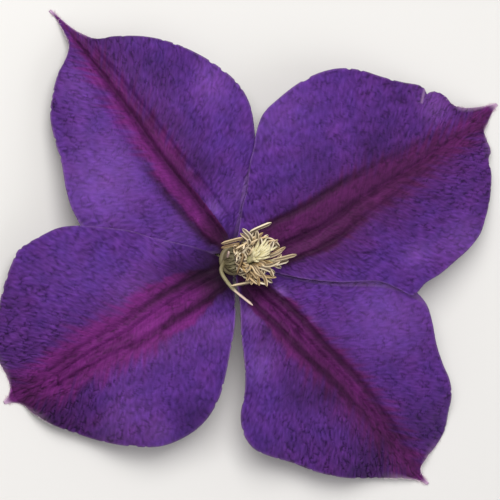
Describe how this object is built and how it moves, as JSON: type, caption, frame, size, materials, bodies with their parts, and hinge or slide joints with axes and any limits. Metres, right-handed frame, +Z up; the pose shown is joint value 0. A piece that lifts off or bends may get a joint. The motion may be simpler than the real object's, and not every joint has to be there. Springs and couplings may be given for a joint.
{
  "type": "clematis flower",
  "caption": "Violet clematis bloom: broad, waved, pointed sepals round a leaning brush of cream stamens, lying on its back.",
  "frame": {"origin": "on the surface that the flower lies on, under the middle of its bounding box", "axes": "+Z up out of the flower's face, +X to the right and +Y to the top of the flower as it is faced"},
  "size_m": [0.1198, 0.1062, 0.0209],
  "materials": {
    "sepal": "velvety",
    "stamen": "matte",
    "pistil": "silky",
    "stalk": "satin"
  },
  "bodies": {
    "root": {"sepal_upper_left": "sepal", "sepal_upper_right": "sepal", "sepal_lower_right": "sepal", "sepal_lower_left": "sepal", "stamens": "stamen", "pistil": "pistil", "flower_stalk": "stalk"}
  },
  "joints": []
}
